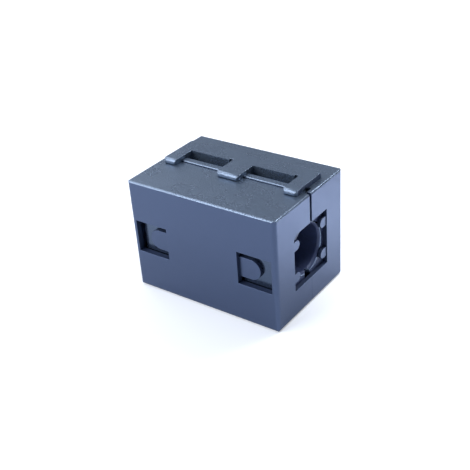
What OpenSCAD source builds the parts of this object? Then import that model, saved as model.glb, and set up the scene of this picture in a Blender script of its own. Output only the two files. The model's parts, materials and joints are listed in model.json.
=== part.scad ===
// Clip on ferrite bead: a one-piece snap case of black nylon in two half shells, with half of a
// square ferrite core in each. X runs along the cable, +Y is the half that carries the latch,
// +Z is up, and the origin is on the foot, in the middle, under the parting line.

/* [Case] */
// Length of the case along the cable
case_l = 32; // [26:0.1:45]
// Width across both halves
case_w = 22.6; // [20:0.1:34]
// Height without the latch plate
case_h = 22.5; // [20:0.1:34]
// Thickness of the long walls
wall = 1.2; // [1:0.05:1.8]
// Thickness of the two end walls
end_wall = 0.85; // [0.6:0.05:1.6]
// Gap along the parting line above the bore's axis
part_gap = 0.4; // [0.1:0.05:0.5]
// Gap along the parting line below it, where the hinge draws the halves together
heel_gap = 0.04; // [0.02:0.01:0.2]
// Radius of the upright edges
side_edge_r = 0.9; // [0.3:0.05:2]
// Radius of the edges round the top
top_edge_r = 0.4; // [0.2:0.05:1]
// Radius of the edges round the foot
foot_edge_r = 0.9; // [0.2:0.05:1.6]

/* [Core] */
// Diameter of the cable bore
bore_d = 9; // [6:0.1:10]
// Clearance between the core and the long walls
core_gap = 0.15; // [0.05:0.05:0.5]
// Clearance between the core and the end walls
core_end_gap = 0.1; // [0.05:0.05:0.5]
// Chamfer of the core's outer edges
core_chamfer = 0.8; // [0.4:0.05:1.2]
// Chamfer of the two mouths of the bore
mouth_chamfer = 0.15; // [0.1:0.05:0.6]

/* [Side windows] */
// Length of a window along the case
window_l = 7.1; // [6:0.1:9]
// Height of a window
window_h = 6.5; // [5:0.1:9]
// Wall left between a window and the end of the case
window_edge = 1.1; // [0.9:0.05:3]
// Length of the spring tongue in a window
tongue_l = 4.45; // [3:0.05:5.5]
// Width of the spring tongue
tongue_w = 4; // [2.5:0.1:4.8]
// Depth of the tongue below the outside of the case
tongue_recess = 0.65; // [0.3:0.05:0.8]

/* [Cable opening] */
// Space between the bore and each side of the opening
opening_gap_w = 1.05; // [0.6:0.05:2.5]
// Space between the bore and the top and bottom of the opening
opening_gap_h = 1.15; // [0.6:0.05:2.5]
// Radius of the front half's upper corner of the opening
opening_corner_r = 1.3; // [0.2:0.05:2]
// Width of a cable claw
claw_w = 1.9; // [1:0.1:2.6]
// Height of a claw above or below the bore's axis
claw_offset = 3.25; // [2.4:0.05:4]
// Space between the bore and the tip of a claw
claw_tip_gap = 0.08; // [0.02:0.01:0.5]
// Depth of the claws below the outside of the end wall
claw_recess = 0.18; // [0.05:0.01:0.4]

/* [Latch] */
// Distance from each end of the case to the latch plate
latch_margin = 1.45; // [1:0.05:4]
// Height of the latch plate above the case
latch_t = 1.05; // [0.8:0.05:1.4]
// Distance from the parting line to the back edge of the plate
latch_back = 6.75; // [5:0.05:9]
// Radius of the plate's back corners
latch_corner_r = 0.7; // [0.3:0.1:2]
// Width of each outer finger
outer_finger_w = 2.8; // [1.8:0.1:4]
// Width of the middle finger
middle_finger_w = 4.7; // [2.5:0.1:6]
// Reach of the fingers over the front half
finger_reach = 2.2; // [1.9:0.05:3.4]
// Radius of the fingers' front corners, seen from above
finger_corner_r = 0.6; // [0.2:0.05:0.9]
// Radius under the fingers' noses
nose_foot_r = 0.25; // [0.1:0.05:0.3]
// Distance from the parting line to the fingers' root and the back of the windows
finger_root = 2.85; // [2.4:0.05:4]
// Width of the relief notch at the right end of each window
relief_w = 0.7; // [0.3:0.05:1]
// Length of the relief notch behind the window
relief_l = 0.55; // [0.3:0.05:1.5]
// Height of the catch rib above the case
rib_h = 0.33; // [0.2:0.01:0.5]
// Front of the catch rib, before the parting line
rib_front = 0.25; // [0.2:0.05:0.6]
// Overhang of the catch rib, past the parting line
rib_back = 1.15; // [0.4:0.05:1.4]
// Clearance between a finger and the catch rib
latch_clear = 0.08; // [0.03:0.01:0.2]
// Length of the catch rib's rebate past each end of the plate
rebate_run = 0.5; // [0.3:0.05:0.9]
// Distance from the parting line to the back of the rebate
rebate_back = 1.9; // [1.4:0.05:2.6]
// Thickness of the wall left under the rebate
rebate_floor = 0.6; // [0.4:0.05:0.8]
// Width of the ledge left in front of the latch windows
ledge_w = 1; // [0.7:0.05:1.5]

/* [Hinge] */
// Length of each hinge strap
strap_l = 8; // [4:0.5:12]
// Distance from each end of the case to the nearer strap
strap_margin = 3.5; // [2:0.1:6]
// Thickness of a strap
strap_t = 0.3; // [0.2:0.05:0.4]
// Room in front of and behind the folded strap
strap_room = 0.4; // [0.2:0.05:0.6]
// Thickness of the wall left over the strap's groove
groove_roof = 0.25; // [0.2:0.05:0.4]

/* [Hidden] */
$fn = 64;
front = -1;
rear = 1;
left = -1;
right = 1;
past = 1; // how far a cutter runs past what it cuts

// Inside of the case and outside of the core
inner_l = case_l - 2 * end_wall;
inner_w = case_w - 2 * wall;
inner_h = case_h - 2 * wall;
axis_z = case_h / 2;
core_l = inner_l - 2 * core_end_gap;
core_w = inner_w - 2 * core_gap;
core_h = inner_h - 2 * core_gap;
mouth_r = bore_d / 2 + mouth_chamfer;
opening_w = bore_d + 2 * opening_gap_w;
opening_h = bore_d + 2 * opening_gap_h;

// Tongues: their outer face lies tongue_recess deep and their inner face rests on the core
window_x = case_l / 2 - window_edge - window_l / 2;
window_root = window_x - window_l / 2;
tongue_t = wall + core_gap - tongue_recess;
tongue_anchor = 0.8; // how far the tongue's pad runs on behind the wall

// Claws: the tip's nearest point to the bore's axis stays claw_tip_gap outside the bore
claw_r = claw_w / 2;
claw_tip_y = sqrt(pow(bore_d / 2 + claw_tip_gap + claw_r, 2) - pow(claw_offset, 2));
claw_t = end_wall - claw_recess;

// Nibs on the end walls that catch the chamfered end of a core
nib_h = core_end_gap + 0.3;
nib_l = 2.4;
nib_foot = 0.65;
nib_rise = 0.25;
nib_z = (opening_h / 2 + inner_h / 2) / 2;

// Latch, with each finger as [its middle along X, its width]
latch_l = case_l - 2 * latch_margin;
finger_outer_x = latch_l / 2 - outer_finger_w / 2;
FINGERS = [[-finger_outer_x, outer_finger_w], [0, middle_finger_w], [finger_outer_x, outer_finger_w]];
finger_lift = 0.05; // a finger's underside lies this far above the case
finger_t = latch_t - finger_lift;
nose_r = finger_t - nose_foot_r;
latch_edge_r = 0.25;
slot_l = finger_outer_x - outer_finger_w / 2 - middle_finger_w / 2;
slot_x = middle_finger_w / 2 + slot_l / 2;
barb_back = rib_front + latch_clear;
rib_room_back = rib_back + 2 * latch_clear;
rebate_l = latch_l + 2 * rebate_run;
rebate_d = wall - rebate_floor;
rib_l = latch_l - 2 * latch_edge_r + 2 * latch_clear;
rib_edge_r = 0.2;
rib_foot = rebate_d - latch_clear;

// Hinge: the strap is a U in a groove under the parting line, a little above the floor
strap_lift = 0.05;
strap_r = part_gap / 2 + strap_lift + strap_t;
strap_z = strap_r + strap_lift;
strap_x = case_l / 2 - strap_margin - strap_l / 2;
strap_side_gap = 0.1;
groove_w = 2 * (strap_r + strap_room);
groove_d = wall - groove_roof;

// ---------------------------------------------------------------- outlines

// A w by h rectangle from the origin, with a radius for each corner:
// [low x low y, high x low y, high x high y, low x high y]
module rounded(w, h, radii) {
    places = [[0, 0, 0], [w, 0, 90], [w, h, 180], [0, h, 270]];
    difference() {
        square([w, h]);
        for (i = [0 : 3]) {
            if (radii[i] > 0) {
                translate([places[i].x, places[i].y]) rotate(places[i].z) corner_cut(radii[i]);
            }
        }
    }
}

// What a fillet of radius r takes off a square corner at the origin
module corner_cut(r) {
    difference() {
        translate([-past, -past]) square(r + past);
        translate([r, r]) circle(r);
        translate([r, -2 * past]) square([2 * past, r + 3 * past]);
        translate([-2 * past, r]) square([r + 3 * past, 2 * past]);
    }
}

// An outline in YZ carried along X, centred on x
module along_x(x, length) {
    translate([x - length / 2, 0, 0]) rotate([90, 0, 90]) linear_extrude(length) children();
}

// An outline in XZ carried along +Y from y
module along_y(y, length) {
    translate([0, y + length, 0]) rotate([90, 0, 0]) linear_extrude(length) children();
}

// Keeps one half of its children: side is front or rear
module half(side) {
    intersection() {
        children();
        translate([0, side * (case_w + part_gap) / 2, axis_z + case_h / 2])
            cube([2 * case_l, case_w, case_h], center = true);
    }
    intersection() {
        children();
        translate([0, side * (case_w + heel_gap) / 2, axis_z - case_h / 2])
            cube([2 * case_l, case_w, case_h], center = true);
    }
}

// ---------------------------------------------------------------- case

// The whole case as a solid block, with the radius of each edge
module case_block() {
    intersection() {
        translate([-case_l / 2, -case_w / 2, 0])
            linear_extrude(case_h)
                rounded(case_l, case_w, [side_edge_r, side_edge_r, side_edge_r, side_edge_r]);
        along_x(0, case_l)
            translate([-case_w / 2, 0])
                rounded(case_w, case_h, [foot_edge_r, foot_edge_r, top_edge_r, top_edge_r]);
        along_y(-case_w / 2, case_w)
            translate([-case_l / 2, 0])
                rounded(case_l, case_h, [foot_edge_r, foot_edge_r, top_edge_r, top_edge_r]);
    }
}

// Two windows in the long wall of one half
module side_windows(side) {
    for (end = [left, right]) {
        translate([end * window_x, side * case_w / 2, axis_z])
            cube([window_l, 2 * (wall + past), window_h], center = true);
    }
}

// The spring tongues in those windows, with their pads on the core's back
module tongues(side) {
    y_low = side == rear ? case_w / 2 - tongue_recess - tongue_t : -case_w / 2 + tongue_recess;
    straight = tongue_l - tongue_w / 2;
    for (end = [left, right]) {
        along_y(y_low, tongue_t)
            translate([end * window_root, axis_z])
                scale_x(end) {
                    translate([-tongue_anchor, -tongue_w / 2]) square([straight + tongue_anchor, tongue_w]);
                    translate([straight, 0]) circle(tongue_w / 2);
                }
    }
}

// Turns an outline drawn for the right end to the left one
module scale_x(end) {
    if (end == left) mirror([1, 0]) children();
    else children();
}

// The opening for the cable, through both end walls
module cable_opening() {
    along_x(0, case_l + 2 * past)
        translate([-opening_w / 2, axis_z - opening_h / 2])
            rounded(opening_w, opening_h, [0, 0, 0, opening_corner_r]);
}

// Two round-tipped claws in each end wall of one half
module claws(side) {
    root_y = opening_w / 2 + claw_recess;
    for (end = [left, right]) {
        along_x(end * (case_l / 2 - claw_recess - claw_t / 2), claw_t)
            for (up = [-1, 1]) {
                translate([side * claw_tip_y, axis_z + up * claw_offset]) circle(claw_r);
                translate([side * (claw_tip_y + root_y) / 2, axis_z + up * claw_offset])
                    square([root_y - claw_tip_y, claw_w], center = true);
            }
    }
}

// Nibs that keep a half core in its shell while the case is open
module nibs(side) {
    for (end = [left, right], up = [-1, 1]) {
        translate([end * inner_l / 2, side * part_gap / 2, axis_z + up * nib_z - nib_l / 2])
            linear_extrude(nib_l)
                polygon([[end * past / 2, 0], [0, 0], [-end * nib_h, side * nib_rise],
                         [0, side * nib_foot], [end * past / 2, side * nib_foot]]);
    }
}

// Grooves under the parting line that hold the two folded straps
module hinge_grooves() {
    for (end = [left, right]) {
        translate([end * strap_x, 0, 0])
            cube([strap_l + 2 * strap_side_gap, groove_w, 2 * groove_d], center = true);
    }
}

// What the two half shells share
module shell(side) {
    difference() {
        half(side) case_block();
        translate([0, 0, axis_z]) cube([inner_l, inner_w, inner_h], center = true);
        side_windows(side);
        cable_opening();
        hinge_grooves();
    }
    tongues(side);
    claws(side);
    nibs(side);
}

// Front half, with the catch rib along its top rim
module case_front() {
    color("#3a404c") {
        shell(front);
        catch_rib();
    }
}

// Rib that the fingers hook over: it overhangs the parting line into the rear half's rebate
module catch_rib() {
    along_x(0, rib_l)
        translate([-rib_front, case_h - rib_foot])
            rounded(rib_front + rib_back, rib_foot + rib_h, [0, 0, rib_edge_r, rib_edge_r]);
}

// Rear half, with the raised plate that the fingers grow from
module case_rear() {
    color("#3a404c")
        difference() {
            union() {
                shell(rear);
                latch_plate();
            }
            rebate();
            latch_windows();
        }
}

// ---------------------------------------------------------------- latch

// The raised plate behind the windows, with round back corners and an eased back edge
module latch_plate() {
    root_z = case_h - wall / 2;
    intersection() {
        translate([-latch_l / 2, finger_root, root_z])
            linear_extrude(case_h + latch_t - root_z)
                rounded(latch_l, latch_back - finger_root, [0, 0, latch_corner_r, latch_corner_r]);
        along_x(0, latch_l)
            translate([0, root_z])
                rounded(latch_back, case_h + latch_t - root_z, [0, 0, latch_edge_r, 0]);
    }
}

// Step in the rear half's rim that the catch rib closes into
module rebate() {
    translate([-rebate_l / 2, -past, case_h - rebate_d])
        cube([rebate_l, past + rebate_back, rebate_d + past]);
}

// Windows between the fingers, through plate and wall, with a relief notch at the right end
module latch_windows() {
    window_front = part_gap / 2 + ledge_w;
    cut_h = wall + latch_t + 2 * past;
    for (end = [left, right]) {
        translate([end * slot_x - slot_l / 2, window_front, case_h - wall - past])
            cube([slot_l, finger_root - window_front, cut_h]);
        translate([end * slot_x + slot_l / 2 - relief_w, window_front, case_h - wall - past])
            cube([relief_w, finger_root + relief_l - window_front, cut_h]);
    }
}

// Side view of a finger: the root at the right, the round nose at the left, and behind the
// nose the barb, whose upright face catches the rib
module finger_profile() {
    under = case_h + finger_lift;
    difference() {
        translate([-finger_reach, under])
            rounded(finger_root + finger_reach, finger_t, [nose_foot_r, 0, 0, nose_r]);
        translate([-barb_back, under - past])
            square([barb_back + rib_room_back, past + rib_h + latch_clear - finger_lift]);
    }
}

// Three fingers that hook over the front half and flex at their roots
module latch_fingers() {
    color("#434a57")
        for (f = FINGERS) {
            intersection() {
                along_x(f.x, f.y) finger_profile();
                translate([f.x - f.y / 2, -finger_reach, case_h])
                    linear_extrude(latch_t)
                        rounded(f.y, finger_reach + finger_root, [finger_corner_r, finger_corner_r, 0, 0]);
            }
        }
}

// ---------------------------------------------------------------- hinge

// A strap folded into a U, its two legs fixed to the roofs of the groove
module hinge_strap(end) {
    color("#3a404c")
        along_x(end * strap_x, strap_l) {
            difference() {
                translate([0, strap_z]) circle(strap_r);
                translate([0, strap_z]) circle(strap_r - strap_t);
                translate([-2 * strap_r, strap_z]) square([4 * strap_r, 2 * strap_r]);
            }
            for (side = [front, rear]) {
                translate([side * (strap_r - strap_t / 2) - strap_t / 2, strap_z])
                    square([strap_t, groove_d - strap_z]);
            }
        }
}

module hinge_strap_left() hinge_strap(left);

module hinge_strap_right() hinge_strap(right);

// ---------------------------------------------------------------- core

// A rectangle centred on the origin with 45 degree corners
module chamfered(w, h, c) {
    polygon([[-w / 2 + c, -h / 2], [w / 2 - c, -h / 2], [w / 2, -h / 2 + c], [w / 2, h / 2 - c],
             [w / 2 - c, h / 2], [-w / 2 + c, h / 2], [-w / 2, h / 2 - c], [-w / 2, -h / 2 + c]]);
}

// Half of the core, ground flat on the parting plane, where its outer edges are chamfered
module half_core(side) {
    color("#23252b")
        difference() {
            translate([0, side * core_w / 4, axis_z])
                intersection() {
                    linear_extrude(core_h, center = true) chamfered(core_l, core_w / 2, core_chamfer);
                    rotate([90, 0, 90])
                        linear_extrude(core_l, center = true) chamfered(core_w / 2, core_h, core_chamfer);
                }
            translate([0, 0, axis_z]) rotate([0, 90, 0]) {
                cylinder(h = core_l + 2 * past, d = bore_d, center = true);
                for (end = [left, right]) {
                    translate([0, 0, end * core_l / 2])
                        cylinder(h = 2 * mouth_chamfer, r1 = mouth_r - end * mouth_chamfer,
                                 r2 = mouth_r + end * mouth_chamfer, center = true);
                }
            }
        }
}

module core_front() half_core(front);

module core_rear() half_core(rear);

case_front();
case_rear();
latch_fingers();
hinge_strap_left();
hinge_strap_right();
core_front();
core_rear();
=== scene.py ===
import json
import math

import bmesh
import bpy
from bpy.props import FloatProperty, FloatVectorProperty, IntProperty, PointerProperty
from mathutils import Matrix, Vector


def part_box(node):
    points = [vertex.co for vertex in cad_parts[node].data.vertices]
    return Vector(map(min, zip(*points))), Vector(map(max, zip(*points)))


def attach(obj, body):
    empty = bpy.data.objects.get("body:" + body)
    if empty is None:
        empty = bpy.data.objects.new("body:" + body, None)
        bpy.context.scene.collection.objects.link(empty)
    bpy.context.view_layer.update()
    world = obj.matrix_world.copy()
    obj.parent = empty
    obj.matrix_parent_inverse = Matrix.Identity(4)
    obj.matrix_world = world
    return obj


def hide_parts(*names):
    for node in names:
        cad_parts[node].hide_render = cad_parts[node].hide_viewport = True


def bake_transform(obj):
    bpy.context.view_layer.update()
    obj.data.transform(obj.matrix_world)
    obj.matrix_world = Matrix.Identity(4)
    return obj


bl_info = {
    "name": "Clip on ferrite bead",
    "version": (1, 0, 0),
    "blender": (4, 5, 0),
    "location": "3D View > Sidebar > Ferrite clip",
    "description": "Finishes a clip on ferrite bead: its snap case, its core and a studio",
    "category": "Object",
}

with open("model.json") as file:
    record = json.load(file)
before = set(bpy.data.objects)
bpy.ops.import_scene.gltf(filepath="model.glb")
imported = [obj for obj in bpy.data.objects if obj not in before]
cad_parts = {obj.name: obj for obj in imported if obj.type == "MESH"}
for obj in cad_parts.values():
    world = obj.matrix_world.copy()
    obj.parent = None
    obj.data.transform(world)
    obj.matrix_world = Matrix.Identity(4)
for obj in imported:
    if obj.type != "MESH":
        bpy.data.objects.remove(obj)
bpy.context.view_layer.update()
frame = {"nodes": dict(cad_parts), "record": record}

MM = 0.001
SAME_PLACE = 1e-7  # vertices nearer than this are one vertex
NEAR = 1e-6  # a vertex nearer than this lies in a plane
HEEL = 0.03 * MM  # the shells' parting faces below the bore lie nearer than this to the middle
FLAT = math.radians(0.5)  # faces that meet at less than this are one face
SHARP = math.radians(30)  # outward edges sharper than this get rounded
CREASE = math.radians(50)  # outward edges sharper than this stay creases
CORNER = math.radians(25)  # inward edges sharper than this stay creases
SQUARE = 0.99  # least share of an axis in the normal of a face that lies square to it
MOSTLY = 0.9  # and of one that lies nearly so
RIM_BAND = 1 * MM  # the rims of the two shells lie nearer than this to the middle
MOUTH_CUT = 0.2 * MM  # the core's chamfer round its bore is smaller than this
MOUTH_SHARE = 0.5  # share of the mouth's reach that its edges are rounded by
EDGE_STEPS, MOUTH_STEPS = 2, 3  # steps that an edge and a mouth are rounded in


def linear(hex_colour):
    """An sRGB hex colour as the three linear values that a socket takes."""
    values = [int(hex_colour[i:i + 2], 16) / 255 for i in (1, 3, 5)]
    return [v / 12.92 if v <= 0.04045 else ((v + 0.055) / 1.055) ** 2.4 for v in values]


class CaseSettings(bpy.types.PropertyGroup):
    """Finish of the two half shells, the fingers and the hinge straps"""

    edge_radius: FloatProperty(
        name="Edge radius", description="Radius of the mould's sharp edges",
        default=0.045 * MM, min=0.02 * MM, max=0.2 * MM,
        precision=5, subtype="DISTANCE", unit="LENGTH")
    side_colour: FloatVectorProperty(
        name="Satin sides", description="Colour of the smooth satin faces",
        default=linear("#1a2233"), size=3, min=0, max=1, subtype="COLOR")
    # The inner walls' colour is lighter than the satin sides': partly the duller milled finish,
    # partly painted light on walls that lie in shade
    inner_wall_painted_light_colour: FloatVectorProperty(
        name="Dull inner walls",
        description="Colour of the faces that the mould's core and slides form",
        default=linear("#263049"), size=3, min=0, max=1, subtype="COLOR")
    top_colour: FloatVectorProperty(
        name="Grained top", description="Colour of the spark eroded faces",
        default=linear("#3c4652"), size=3, min=0, max=1, subtype="COLOR")
    grain_size: FloatProperty(
        name="Grain size", description="Width of one pit of the spark eroded grain",
        default=0.24 * MM, min=0.05 * MM, max=1 * MM,
        precision=5, subtype="DISTANCE", unit="LENGTH")
    grain_depth: FloatProperty(
        name="Grain depth", description="Depth of the spark eroded grain",
        default=0.06 * MM, min=0, max=0.2 * MM,
        precision=5, subtype="DISTANCE", unit="LENGTH")
    rim_setback: FloatProperty(
        name="Rim setback", description="How much the rear shell's rim is set back above the bore",
        default=0.22 * MM, min=0, max=0.5 * MM,
        precision=5, subtype="DISTANCE", unit="LENGTH")
    strap_thickness: FloatProperty(
        name="Hinge film", description="Thickness of the two hinge straps",
        default=0.3 * MM, min=0.1 * MM, max=0.45 * MM,
        precision=5, subtype="DISTANCE", unit="LENGTH")
    strap_steps: IntProperty(
        name="Steps of the fold", description="Steps that the fold of a hinge strap is made in",
        default=24, min=8, max=64)


class CoreSettings(bpy.types.PropertyGroup):
    """Finish of the two half cores"""

    edge_radius: FloatProperty(
        name="Edge radius", description="Radius that tumbling leaves on the core's edges",
        default=0.1 * MM, min=0.02 * MM, max=0.3 * MM,
        precision=5, subtype="DISTANCE", unit="LENGTH")
    mouth_radius: FloatProperty(
        name="Mouth radius", description="Radius that the bore opens out with at its two ends",
        default=0.45 * MM, min=0.2 * MM, max=1 * MM,
        precision=5, subtype="DISTANCE", unit="LENGTH")
    tumbled_colour: FloatVectorProperty(
        name="Tumbled faces", description="Colour of the outer faces",
        default=linear("#0e131e"), size=3, min=0, max=1, subtype="COLOR")
    fired_colour: FloatVectorProperty(
        name="Fired faces", description="Colour of the bore's wall",
        default=linear("#353f60"), size=3, min=0, max=1, subtype="COLOR")
    ground_colour: FloatVectorProperty(
        name="Ground faces", description="Colour of the faces that meet",
        default=linear("#232731"), size=3, min=0, max=1, subtype="COLOR")


class StudioSettings(bpy.types.PropertyGroup):
    """The floor, lamps and camera round the part"""

    camera_azimuth: FloatProperty(
        name="Azimuth", description="Angle of the camera round the part, from its front",
        default=math.radians(37.3), subtype="ANGLE")
    camera_elevation: FloatProperty(
        name="Elevation", description="Angle of the camera above the floor",
        default=math.radians(30.5), subtype="ANGLE")
    camera_roll: FloatProperty(
        name="Roll", description="Turn of the camera about its own axis",
        default=math.radians(-4.25), subtype="ANGLE")
    camera_distance: FloatProperty(
        name="Distance", description="Distance from the camera to the point that it looks at",
        default=157 * MM, min=50 * MM, precision=4, subtype="DISTANCE", unit="LENGTH")
    camera_lens: FloatProperty(
        name="Focal length", description="Focal length on a 36 mm wide sensor, in millimetres",
        default=64.11, min=10, max=300)
    camera_aim: FloatVectorProperty(
        name="Looks at", description="Point that the camera looks at",
        default=(-0.09 * MM, -0.87 * MM, 10.17 * MM), size=3, subtype="TRANSLATION", unit="LENGTH")
    surroundings: FloatProperty(
        name="Surroundings", description="Strength of the light from all round",
        default=0.33, min=0, max=2)
    surroundings_colour: FloatVectorProperty(
        name="Surroundings' colour", description="Colour of the light from all round",
        default=linear("#e3edff"), size=3, min=0, max=1, subtype="COLOR")
    floor_reach: FloatProperty(
        name="Floor's reach", description="Distance from the part to each side of the paper sweep",
        default=320 * MM, min=100 * MM, precision=4, subtype="DISTANCE", unit="LENGTH")
    floor_colour: FloatVectorProperty(
        name="Floor", description="Colour of the paper sweep",
        default=linear("#e8ebee"), size=3, min=0, max=1, subtype="COLOR")
    floor_lift: FloatProperty(
        name="Floor's lift", description="White that only the camera sees, on top of its colour",
        default=0.33, min=0, max=1)


# Lamps: name, azimuth and elevation in degrees, distance, width, power in watts, spread in degrees
# and the point that it shines at, in mm
LAMPS = [
    ("window", -36, 36, 0.45, 0.35, 1.74, 180, (0, 0, 10)),
    ("left_panel", -105, 45, 0.5, 0.35, 0.98, 180, (0, 0, 10)),
    ("back_panel", -142, 34, 0.5, 0.35, 0.045, 180, (0, 0, 10)),
    ("right_lamp", 157, 50, 0.45, 0.15, 0.86, 180, (0, 0, 10)),
    ("floor_light", 125, 60, 0.14, 0.03, 0.013, 34, (39, 31, 0)),
]
LAMP_COLOUR = "#f2f6ff"
WHITE = "#ffffff"
SENSOR = 36  # width of the camera's sensor in millimetres
NEAREST, FARTHEST = 1 * MM, 10  # what the camera sees lies between these distances, in metres


# ---------------------------------------------------------------- meshes

def closed_copy(node):
    """A bmesh of a CAD node with its loose triangles joined and its flats made whole."""
    bm = bmesh.new()
    bm.from_mesh(frame["nodes"][node].data)
    bmesh.ops.remove_doubles(bm, verts=bm.verts, dist=SAME_PLACE)
    bmesh.ops.dissolve_limit(bm, angle_limit=FLAT, use_dissolve_boundaries=False,
                             verts=bm.verts, edges=bm.edges)
    if any(not e.is_manifold for e in bm.edges):
        raise RuntimeError(f"{node} is not closed once its triangles are joined")
    return bm


def round_edges(bm, radius, flush):
    """Rounds every outward edge, except those whose ends both lie flush with another piece."""
    edges = [e for e in bm.edges if e.is_convex and e.calc_face_angle(0) > SHARP
             and not all(flush(v.co) for v in e.verts)]
    bmesh.ops.bevel(bm, geom=edges, offset=radius, offset_type="OFFSET", affect="EDGES",
                    segments=EDGE_STEPS, profile=0.5, clamp_overlap=False, loop_slide=True,
                    material=-1)


def open_mouth(bm, bore, axis_z, reach):
    """Widens the small chamfer at each end of the bore to a rounded mouth of that reach."""
    end = max(v.co.x for v in bm.verts)
    ring = []
    for vert in bm.verts:
        out = math.hypot(vert.co.y, vert.co.z - axis_z)
        if abs(abs(vert.co.x) - end) < NEAR and out < bore + MOUTH_CUT:
            wider = (bore + reach) / out
            vert.co.yz = (vert.co.y * wider, axis_z + (vert.co.z - axis_z) * wider)
            ring.append(vert)
        elif end - abs(vert.co.x) < MOUTH_CUT and abs(out - bore) < NEAR:
            vert.co.x = math.copysign(end - reach, vert.co.x)
            ring.append(vert)
    kept = set(ring)
    edges = [e for e in bm.edges if all(v in kept for v in e.verts)
             and abs(e.verts[0].co.x - e.verts[1].co.x) < NEAR]
    bmesh.ops.bevel(bm, geom=edges, offset=MOUTH_SHARE * reach, offset_type="OFFSET",
                    affect="EDGES", segments=MOUTH_STEPS, profile=0.5, clamp_overlap=True,
                    loop_slide=True, material=-1)


def set_back(bm, distance):
    """Moves the rear shell's rim above the bore away from the front shell."""
    low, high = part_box("core_rear")
    rim = set()
    for face in bm.faces:
        middle = face.calc_center_median()
        above = middle.z > (low.z + high.z) / 2
        if above and face.normal.y < -SQUARE and 0 < middle.y < RIM_BAND:
            rim.update(face.verts)
    bmesh.ops.translate(bm, vec=(0, distance, 0), verts=list(rim))


def in_heel(place):
    """Whether a place is in the heel, where the two shells touch below the bore."""
    return abs(place.y) < HEEL


def at_root(place):
    """Whether a place is in the plane where the fingers grow from the plate."""
    low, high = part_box("latch_fingers")
    return abs(place.y - high.y) < NEAR and place.z > low.z - NEAR


def finished_piece(name, bm, materials, body, nodes):
    """Makes a piece's object, shades it, sets it on the body that it rides on and hides the CAD
    nodes that it stands for.
    """
    for edge in bm.edges:
        edge.smooth = edge.calc_face_angle(0) < (CREASE if edge.is_convex else CORNER)
    for face in bm.faces:
        face.smooth = True
    mesh = bpy.data.meshes.new(name)
    bm.to_mesh(mesh)
    bm.free()
    # A copy of a CAD node brings its normals, which don't fit the rounded edges
    copied = mesh.attributes.get("custom_normal")
    if copied:
        mesh.attributes.remove(copied)
    for material in materials:
        mesh.materials.append(material)
    piece = bpy.data.objects.new(name, mesh)
    bpy.context.scene.collection.objects.link(piece)
    # A flat keeps its own normal up to where its rounded edge starts
    weighted = piece.modifiers.new("flats", "WEIGHTED_NORMAL")
    weighted.mode = "FACE_AREA"
    weighted.keep_sharp = True
    if body:
        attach(piece, body)
    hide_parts(*nodes)
    return piece


# ---------------------------------------------------------------- materials

def add_node(tree, kind, inputs=None, **properties):
    """Adds one node with its properties, its sockets' values and its links."""
    node = tree.nodes.new(kind)
    for name, value in properties.items():
        setattr(node, name, value)
    for name, value in (inputs or {}).items():
        if isinstance(value, bpy.types.NodeSocket):
            tree.links.new(value, node.inputs[name])
        else:
            node.inputs[name].default_value = value
    return node


MIX_A, MIX_B, MIXED = 6, 7, 2  # colour sockets of a Mix node
LEAST, MOST = 0.3, 0.7  # nearly all the values of a noise texture lie between these


def new_material(name):
    """An empty node material and its tree, or the material of that name and None."""
    material = bpy.data.materials.get(name)
    if material is None:
        material = bpy.data.materials.new(name)
        material.use_nodes = True
        material.node_tree.nodes.clear()
        return material, material.node_tree
    return material, None


def rgba(colour, gain=1.0):
    """A linear colour as four values, scaled by gain."""
    return [min(1.0, c * gain) for c in colour] + [1.0]


def finish_surface(tree, tone, wear, relief, colour, contrast, roughness, depth, ior, sheen):
    """Ends a material, whose colour follows tone, roughness follows wear and height, relief."""
    base = add_node(tree, "ShaderNodeMix", {
        "Factor": tone, MIX_A: rgba(colour, 1 - contrast), MIX_B: rgba(colour, 1 + contrast)},
        data_type="RGBA")
    gloss = add_node(tree, "ShaderNodeMapRange", {
        "Value": wear, "From Min": LEAST, "From Max": MOST,
        "To Min": roughness[0], "To Max": roughness[1]})
    bump = add_node(tree, "ShaderNodeBump", {"Height": relief, "Strength": 1.0, "Distance": depth})
    shader = add_node(tree, "ShaderNodeBsdfPrincipled", {
        "Base Color": base.outputs[MIXED], "Roughness": gloss.outputs["Result"],
        "IOR": ior, "Specular Tint": rgba(linear(sheen)), "Normal": bump.outputs["Normal"]})
    add_node(tree, "ShaderNodeOutputMaterial", {"Surface": shader.outputs["BSDF"]})


def nylon_spark_eroded():
    """Black PA66, moulded against a spark eroded face: even pits that break every highlight up."""
    material, tree = new_material("nylon_66_spark_eroded")
    if tree is None:
        return material
    case = bpy.context.scene.ferrite_case
    place = add_node(tree, "ShaderNodeTexCoord").outputs["Object"]
    # Real pits are about 0.08 mm wide, too fine to show, so they are drawn three times as wide
    pits = add_node(tree, "ShaderNodeTexNoise", {
        "Vector": place, "Scale": 1 / case.grain_size, "Detail": 1.0, "Roughness": 0.5})
    # The melt's flow makes it shinier and duller in clouds some 6 mm wide
    clouds = add_node(tree, "ShaderNodeTexNoise", {
        "Vector": place, "Scale": 1 / (6 * MM), "Detail": 3.0, "Roughness": 0.55})
    tone = add_node(tree, "ShaderNodeMapRange", {
        "Value": pits.outputs["Fac"], "From Min": LEAST, "From Max": MOST})
    finish_surface(tree, tone.outputs["Result"], clouds.outputs["Fac"], pits.outputs["Fac"],
                   colour=case.top_colour, contrast=0.4, roughness=(0.24, 0.32),
                   depth=case.grain_depth, ior=2.8, sheen="#cee3ff")
    return material


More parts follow.
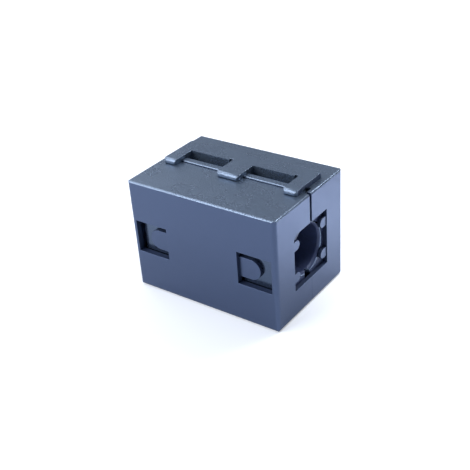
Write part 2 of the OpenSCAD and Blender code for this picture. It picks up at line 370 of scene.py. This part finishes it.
def nylon_satin():
    """Black PA66, moulded against a stoned face: smooth, with soft wide reflections."""
    material, tree = new_material("nylon_66_satin")
    if tree is None:
        return material
    case = bpy.context.scene.ferrite_case
    place = add_node(tree, "ShaderNodeTexCoord").outputs["Object"]
    # The melt's flow leaves faint clouds some 5 mm wide
    clouds = add_node(tree, "ShaderNodeTexNoise", {
        "Vector": place, "Scale": 1 / (5 * MM), "Detail": 4.0, "Roughness": 0.55}).outputs["Fac"]
    # Stoning marks are some 0.05 mm apart, drawn as fine unevenness four times that
    stoning = add_node(tree, "ShaderNodeTexNoise", {
        "Vector": place, "Scale": 1 / (0.2 * MM), "Detail": 2.0})
    finish_surface(tree, clouds, clouds, stoning.outputs["Fac"],
                   colour=case.side_colour, contrast=0.08, roughness=(0.28, 0.36),
                   depth=0.002 * MM, ior=2.5, sheen="#b5cdff")
    return material


def nylon_milled_painted_light():
    """Black PA66 from the mould's core and slides, left as the cutter left them: dull and matt. Its
    colour, lighter than the sides', is painted light on walls that lie in shade inside the windows,
    slots and openings.
    """
    material, tree = new_material("nylon_66_milled_painted_light")
    if tree is None:
        return material
    case = bpy.context.scene.ferrite_case
    place = add_node(tree, "ShaderNodeTexCoord").outputs["Object"]
    # The cutter's marks are about 0.1 mm apart, drawn as unevenness twice that
    marks = add_node(tree, "ShaderNodeTexNoise", {
        "Vector": place, "Scale": 1 / (0.2 * MM), "Detail": 3.0, "Roughness": 0.6}).outputs["Fac"]
    finish_surface(tree, marks, marks, marks,
                   colour=case.inner_wall_painted_light_colour, contrast=0.15, roughness=(0.5, 0.6),
                   depth=0.006 * MM, ior=1.53, sheen="#daedff")
    return material


def ferrite_tumbled():
    """Nickel zinc ferrite, tumbled after firing: near black, and it mirrors like dark glass."""
    material, tree = new_material("ferrite_tumbled")
    if tree is None:
        return material
    core = bpy.context.scene.ferrite_core
    place = add_node(tree, "ShaderNodeTexCoord").outputs["Object"]
    # Pores are a few hundredths of a millimetre wide, drawn as patches of about 0.3 mm
    pores = add_node(tree, "ShaderNodeTexNoise", {
        "Vector": place, "Scale": 1 / (0.3 * MM), "Detail": 3.0, "Roughness": 0.65}).outputs["Fac"]
    finish_surface(tree, pores, pores, pores,
                   colour=core.tumbled_colour, contrast=0.25, roughness=(0.14, 0.24),
                   depth=0.006 * MM, ior=2.5, sheen="#bcd7ff")
    return material


def ferrite_fired():
    """Nickel zinc ferrite as fired, where tumbling doesn't reach: dull slate grey, open pores."""
    material, tree = new_material("ferrite_fired")
    if tree is None:
        return material
    core = bpy.context.scene.ferrite_core
    place = add_node(tree, "ShaderNodeTexCoord").outputs["Object"]
    # The same pores, left open, drawn as patches of about 0.2 mm
    pores = add_node(tree, "ShaderNodeTexNoise", {
        "Vector": place, "Scale": 1 / (0.2 * MM), "Detail": 3.0, "Roughness": 0.7}).outputs["Fac"]
    finish_surface(tree, pores, pores, pores,
                   colour=core.fired_colour, contrast=0.2, roughness=(0.4, 0.55),
                   depth=0.02 * MM, ior=1.7, sheen="#dae7ff")
    return material


def ferrite_ground():
    """Ground ferrite: the wheel leaves fine straight lines along the core and a greyer sheen."""
    material, tree = new_material("ferrite_ground")
    if tree is None:
        return material
    core = bpy.context.scene.ferrite_core
    place = add_node(tree, "ShaderNodeTexCoord").outputs["Object"]
    # The lines run along the core, so the pattern is drawn out a hundred times that way.
    # Real ones are some 0.03 mm apart, drawn four times as wide
    along = add_node(tree, "ShaderNodeMapping", {"Vector": place, "Scale": (0.01, 1.0, 1.0)})
    lines = add_node(tree, "ShaderNodeTexNoise", {
        "Vector": along.outputs["Vector"], "Scale": 1 / (0.12 * MM), "Detail": 2.0}).outputs["Fac"]
    finish_surface(tree, lines, lines, lines,
                   colour=core.ground_colour, contrast=0.2, roughness=(0.25, 0.4),
                   depth=0.006 * MM, ior=2.2, sheen="#cbe5ff")
    return material


def white_paper():
    """White card, uncoated and dead matt. The camera alone sees it lifted towards white."""
    material, tree = new_material("white_paper")
    if tree is None:
        return material
    studio = bpy.context.scene.ferrite_studio
    seen = add_node(tree, "ShaderNodeLightPath")
    diffuse = add_node(tree, "ShaderNodeBsdfDiffuse", {"Color": rgba(studio.floor_colour)})
    lift = add_node(tree, "ShaderNodeMath", {
        0: seen.outputs["Is Camera Ray"], 1: studio.floor_lift}, operation="MULTIPLY")
    glow = add_node(tree, "ShaderNodeEmission", {
        "Color": rgba(linear(WHITE)), "Strength": lift.outputs[0]})
    both = add_node(tree, "ShaderNodeAddShader", {0: diffuse.outputs[0], 1: glow.outputs[0]})
    add_node(tree, "ShaderNodeOutputMaterial", {"Surface": both.outputs[0]})
    return material


SATIN, GRAINED, MILLED_PAINTED_LIGHT = 0, 1, 2  # order of the materials on the shells and the fingers
TUMBLED, GROUND, FIRED = 0, 1, 2  # and on the core halves
GRAIN_LEAN = 0.35  # least upward share of the normal of a grained face
TOP_BAND = 1.0 * MM  # the grain ends this far below the top of the case
LATCH_BAND = 2.4 * MM  # in the latch it runs down its windows' walls, this far: there its lighter colour is painted light on walls in shade
BACK_BAND = 1.0 * MM  # and it ends there this far before the case's back
SKIN = 0.1 * MM  # faces nearer than this to a side of the case's box are on its outside
TURN = 0.65 * MM  # and so are those whose distances to two sides add up to less than this
OUTER = 1.3 * MM  # walls that look out are satin too, when they lie nearer than this to a side


def finish_faces(bm):
    """Grains the top and the latch, gives the inner walls the dull milled finish, and makes the
    rest satin. The grain's colour down the latch's window walls and the lighter colour of the inner
    walls are painted light there.
    """
    low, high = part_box("case_front")
    tip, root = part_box("latch_fingers")
    for face in bm.faces:
        place, normal = face.calc_center_median(), face.normal
        looks_up = place.z > high.z - TOP_BAND and normal.z > GRAIN_LEAN
        # Faces in the latch, down its windows' walls, take the grain's lighter colour: real grain
        # on its top, painted light on the walls in shade
        latch_grain_and_painted_light = (place.z > high.z - LATCH_BAND and abs(place.x) < root.x
                    and tip.y < place.y < -low.y - BACK_BAND)
        from_end, from_side = high.x - abs(place.x), -low.y - abs(place.y)
        nearest, second, _ = sorted((from_end, from_side, place.z - low.z))
        outside = nearest < SKIN or nearest + second < TURN
        looks_out = nearest < OUTER and (abs(normal.x) > MOSTLY and from_end < from_side
                                         or abs(normal.y) > MOSTLY and from_side < from_end)
        at_rim = abs(normal.y) > SQUARE and abs(place.y) < RIM_BAND
        if (looks_up or latch_grain_and_painted_light) and not at_rim:
            face.material_index = GRAINED
        else:
            # Inner walls take the lighter milled colour, which is partly painted light on walls in
            # shade
            face.material_index = SATIN if outside or looks_out else MILLED_PAINTED_LIGHT


# ---------------------------------------------------------------- pieces

class FERRITE_OT_front_shell(bpy.types.Operator):
    """Makes the front half shell, with the catch rib along its rim"""

    bl_idname = "ferrite.front_shell"
    bl_label = "Front shell"

    def execute(self, context):
        bm = closed_copy("case_front")
        round_edges(bm, context.scene.ferrite_case.edge_radius, in_heel)
        finish_faces(bm)
        finished_piece("front_shell", bm, [nylon_satin(), nylon_spark_eroded(), nylon_milled_painted_light()],
                       "front_half", ["case_front"])
        return {"FINISHED"}


class FERRITE_OT_rear_shell(bpy.types.Operator):
    """Makes the rear half shell, with the latch plate on top of it"""

    bl_idname = "ferrite.rear_shell"
    bl_label = "Rear shell"

    def execute(self, context):
        bm = closed_copy("case_rear")
        set_back(bm, context.scene.ferrite_case.rim_setback)
        round_edges(bm, context.scene.ferrite_case.edge_radius,
                    lambda place: in_heel(place) or at_root(place))
        finish_faces(bm)
        finished_piece("rear_shell", bm, [nylon_satin(), nylon_spark_eroded(), nylon_milled_painted_light()],
                       "rear_half", ["case_rear"])
        return {"FINISHED"}


class FERRITE_OT_fingers(bpy.types.Operator):
    """Makes the three fingers that hook over the catch rib"""

    bl_idname = "ferrite.fingers"
    bl_label = "Snap fingers"

    def execute(self, context):
        bm = closed_copy("latch_fingers")
        round_edges(bm, context.scene.ferrite_case.edge_radius, at_root)
        finish_faces(bm)
        finished_piece("snap_fingers", bm, [nylon_satin(), nylon_spark_eroded(), nylon_milled_painted_light()],
                       "latch", ["latch_fingers"])
        return {"FINISHED"}


class FERRITE_OT_straps(bpy.types.Operator):
    """Makes the two folded hinge straps"""

    bl_idname = "ferrite.straps"
    bl_label = "Hinge straps"

    def execute(self, context):
        case = context.scene.ferrite_case
        for side in ("left", "right"):
            low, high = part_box(f"hinge_strap_{side}")
            outer = high.y
            thick = case.strap_thickness
            fold_z = low.z + outer
            bm = bmesh.new()
            # A unit square, scaled to the foot of the rear leg and turned under the joint to the
            # foot of the front one. Then both legs are drawn up
            bmesh.ops.create_grid(bm, x_segments=1, y_segments=1, size=0.5)
            bmesh.ops.scale(bm, vec=(high.x - low.x, thick, 1), verts=bm.verts)
            bmesh.ops.translate(bm, vec=((low.x + high.x) / 2, outer - thick / 2, fold_z),
                                verts=bm.verts)
            foot = list(bm.faces)
            turned = bmesh.ops.spin(bm, geom=foot + list(bm.edges) + list(bm.verts),
                                    cent=(0, 0, fold_z), axis=(1, 0, 0), angle=-math.pi,
                                    steps=case.strap_steps)
            other = [f for f in turned["geom_last"] if isinstance(f, bmesh.types.BMFace)]
            for end in (foot, other):
                leg = bmesh.ops.extrude_face_region(bm, geom=end)
                upper = [v for v in leg["geom"] if isinstance(v, bmesh.types.BMVert)]
                bmesh.ops.translate(bm, vec=(0, 0, high.z - fold_z), verts=upper)
                bmesh.ops.delete(bm, geom=[f for f in end if f.is_valid], context="FACES_ONLY")
            bmesh.ops.remove_doubles(bm, verts=bm.verts, dist=SAME_PLACE)
            bmesh.ops.recalc_face_normals(bm, faces=bm.faces)
            if any(not e.is_manifold for e in bm.edges):
                raise RuntimeError(f"the {side} hinge strap is not closed")
            strap = finished_piece(f"{side}_hinge_strap", bm, [nylon_satin()],
                                   None, [f"hinge_strap_{side}"])
            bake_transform(strap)
        return {"FINISHED"}


class FERRITE_OT_cores(bpy.types.Operator):
    """Makes the two half cores, ground where they meet"""

    bl_idname = "ferrite.cores"
    bl_label = "Core halves"

    def execute(self, context):
        bore = next(m for m in frame["record"]["mounts"] if m["name"] == "cable_bore")
        radius = bore["dims"]["r_mm"] * MM
        axis_z = bore["pos_m"][2]
        core = context.scene.ferrite_core
        for side in ("front", "rear"):
            bm = closed_copy(f"core_{side}")
            open_mouth(bm, radius, axis_z, core.mouth_radius)
            round_edges(bm, core.edge_radius, lambda place: False)
            for face in bm.faces:
                middle = face.calc_center_median()
                if abs(middle.y) < NEAR and abs(face.normal.y) > SQUARE:
                    face.material_index = GROUND
                elif math.hypot(middle.y, middle.z - axis_z) < radius + core.mouth_radius:
                    face.material_index = FIRED
                else:
                    face.material_index = TUMBLED
            finished_piece(f"{side}_core_half", bm,
                           [ferrite_tumbled(), ferrite_ground(), ferrite_fired()],
                           f"{side}_half", [f"core_{side}"])
        return {"FINISHED"}


# ---------------------------------------------------------------- stage

def toward(azimuth, elevation):
    """The direction from the part to a camera or lamp at that azimuth and elevation."""
    return Vector((math.sin(azimuth) * math.cos(elevation),
                   -math.cos(azimuth) * math.cos(elevation), math.sin(elevation)))


def keep_under(floor, piece):
    """Lowers the floor to the lowest point of a piece that swings down past the case's foot."""
    tree = bpy.data.node_groups.new("floor_height", "GeometryNodeTree")
    for way in ("INPUT", "OUTPUT"):
        tree.interface.new_socket("Geometry", in_out=way, socket_type="NodeSocketGeometry")
    sheet = add_node(tree, "NodeGroupInput")
    swung = add_node(tree, "GeometryNodeObjectInfo", {"Object": piece}, transform_space="RELATIVE")
    box = add_node(tree, "GeometryNodeBoundBox", {"Geometry": swung.outputs["Geometry"]})
    corner = add_node(tree, "ShaderNodeSeparateXYZ", {"Vector": box.outputs["Min"]})
    height = add_node(tree, "ShaderNodeMath", {0: corner.outputs["Z"], 1: 0.0}, operation="MINIMUM")
    drop = add_node(tree, "ShaderNodeCombineXYZ", {"Z": height.outputs[0]})
    lowered = add_node(tree, "GeometryNodeTransform", {
        "Geometry": sheet.outputs["Geometry"], "Translation": drop.outputs[0]})
    add_node(tree, "NodeGroupOutput", {"Geometry": lowered.outputs["Geometry"]})
    floor.modifiers.new("height", "NODES").node_group = tree


def paper_sweep(context, studio):
    """A flat sheet under the part, which keeps under the half shell that swings."""
    mesh = bpy.data.meshes.new("paper_sweep")
    bm = bmesh.new()
    bmesh.ops.create_grid(bm, x_segments=1, y_segments=1, size=studio.floor_reach)
    bm.to_mesh(mesh)
    bm.free()
    mesh.materials.append(white_paper())
    floor = bpy.data.objects.new("paper_sweep", mesh)
    context.scene.collection.objects.link(floor)
    keep_under(floor, bpy.data.objects["front_shell"])


def white_room(context, studio):
    """Even light from all round, which the camera sees as plain white."""
    world = bpy.data.worlds.new("white_room")
    context.scene.world = world
    world.use_nodes = True
    tree = world.node_tree
    tree.nodes.clear()
    seen = add_node(tree, "ShaderNodeLightPath")
    room = add_node(tree, "ShaderNodeBackground", {
        "Color": rgba(studio.surroundings_colour), "Strength": studio.surroundings})
    white = add_node(tree, "ShaderNodeBackground", {
        "Color": rgba(linear(WHITE)), "Strength": 1.0})
    mix = add_node(tree, "ShaderNodeMixShader", {
        0: seen.outputs["Is Camera Ray"], 1: room.outputs[0], 2: white.outputs[0]})
    add_node(tree, "ShaderNodeOutputWorld", {"Surface": mix.outputs[0]})


def soft_lamps(context, aim):
    """The square lamps, placed round the point that the camera looks at."""
    for name, azimuth, elevation, distance, width, power, spread, target in LAMPS:
        lamp = bpy.data.lights.new(name, "AREA")
        lamp.shape = "SQUARE"
        lamp.size = width
        lamp.energy = power
        lamp.spread = math.radians(spread)
        lamp.color = linear(LAMP_COLOUR)
        holder = bpy.data.objects.new(name, lamp)
        holder.location = aim + toward(math.radians(azimuth), math.radians(elevation)) * distance
        away = holder.location - Vector(target) * MM
        holder.rotation_euler = away.to_track_quat("Z", "Y").to_euler()
        context.scene.collection.objects.link(holder)


def still_camera(context, studio, aim):
    """The camera, turned to the point that it looks at and rolled about its own axis."""
    lens = bpy.data.cameras.new("camera")
    lens.sensor_width = SENSOR
    lens.lens = studio.camera_lens
    lens.clip_start = NEAREST
    lens.clip_end = FARTHEST
    camera = bpy.data.objects.new("camera", lens)
    back = toward(studio.camera_azimuth, studio.camera_elevation)
    roll = Matrix.Rotation(studio.camera_roll, 3, "Z").to_quaternion()
    turn = back.to_track_quat("Z", "Y") @ roll
    camera.matrix_world = Matrix.LocRotScale(aim + back * studio.camera_distance, turn, None)
    context.scene.collection.objects.link(camera)
    context.scene.camera = camera


class FERRITE_OT_studio(bpy.types.Operator):
    """Makes the paper sweep, the lamps, the surroundings and the camera, after the front shell"""

    bl_idname = "ferrite.studio"
    bl_label = "Studio"

    def execute(self, context):
        studio = context.scene.ferrite_studio
        aim = Vector(studio.camera_aim)
        paper_sweep(context, studio)
        white_room(context, studio)
        soft_lamps(context, aim)
        still_camera(context, studio, aim)
        context.scene.view_settings.view_transform = "Standard"
        return {"FINISHED"}


class FERRITE_PT_panel(bpy.types.Panel):
    """Lists the pieces and the settings of the ferrite clip"""

    bl_idname = "FERRITE_PT_panel"
    bl_label = "Ferrite clip"
    bl_space_type = "VIEW_3D"
    bl_region_type = "UI"
    bl_category = "Ferrite clip"

    def draw(self, context):
        layout = self.layout
        for operator in PIECES + [FERRITE_OT_studio]:
            layout.operator(operator.bl_idname)
        scene = context.scene
        for settings in (scene.ferrite_case, scene.ferrite_core, scene.ferrite_studio):
            box = layout.box()
            for name in settings.__annotations__:
                box.prop(settings, name)


PIECES = [FERRITE_OT_front_shell, FERRITE_OT_rear_shell, FERRITE_OT_fingers, FERRITE_OT_straps,
          FERRITE_OT_cores]
CLASSES = [CaseSettings, CoreSettings, StudioSettings, *PIECES, FERRITE_OT_studio, FERRITE_PT_panel]


def register():
    for made in CLASSES:
        bpy.utils.register_class(made)
    bpy.types.Scene.ferrite_case = PointerProperty(type=CaseSettings)
    bpy.types.Scene.ferrite_core = PointerProperty(type=CoreSettings)
    bpy.types.Scene.ferrite_studio = PointerProperty(type=StudioSettings)


def unregister():
    del bpy.types.Scene.ferrite_case
    del bpy.types.Scene.ferrite_core
    del bpy.types.Scene.ferrite_studio
    for made in reversed(CLASSES):
        bpy.utils.unregister_class(made)


def main():
    register()
    bpy.ops.ferrite.front_shell()
    bpy.ops.ferrite.rear_shell()
    bpy.ops.ferrite.fingers()
    bpy.ops.ferrite.straps()
    bpy.ops.ferrite.cores()
    bpy.ops.ferrite.studio()


if __name__ == "__main__":
    main()
